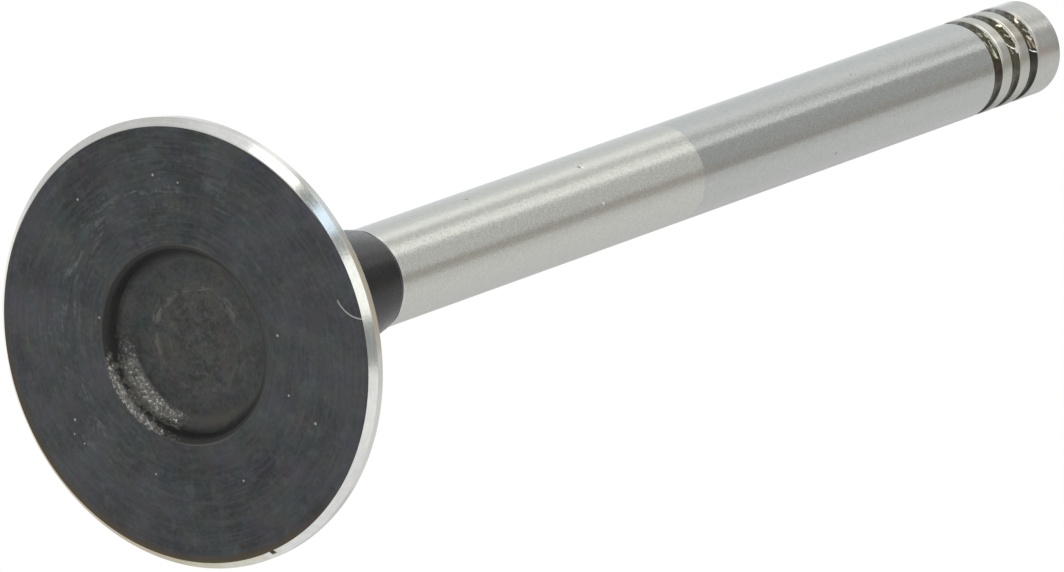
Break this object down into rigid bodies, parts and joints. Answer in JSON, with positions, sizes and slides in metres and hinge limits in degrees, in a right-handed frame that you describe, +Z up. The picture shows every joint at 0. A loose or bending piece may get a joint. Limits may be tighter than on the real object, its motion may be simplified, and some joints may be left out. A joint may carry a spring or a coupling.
{
  "type": "engine poppet valve",
  "caption": "Engine poppet valve: flat dark head with a round recess, ground 45 degree seat, tulip neck, ground stem and three round keeper grooves.",
  "frame": {"origin": "centre of the flat combustion face, which rests on z = 0", "axes": "+Z runs up the stem from the combustion face to the tip; X and Y are any two square directions across it"},
  "size_m": [0.035, 0.035, 0.1195],
  "materials": {
    "valve_steel": "ground stem, rim and tip; head and neck with a dark satin heat-treated skin"
  },
  "bodies": {
    "root": {"valve": "valve_steel"}
  },
  "joints": []
}
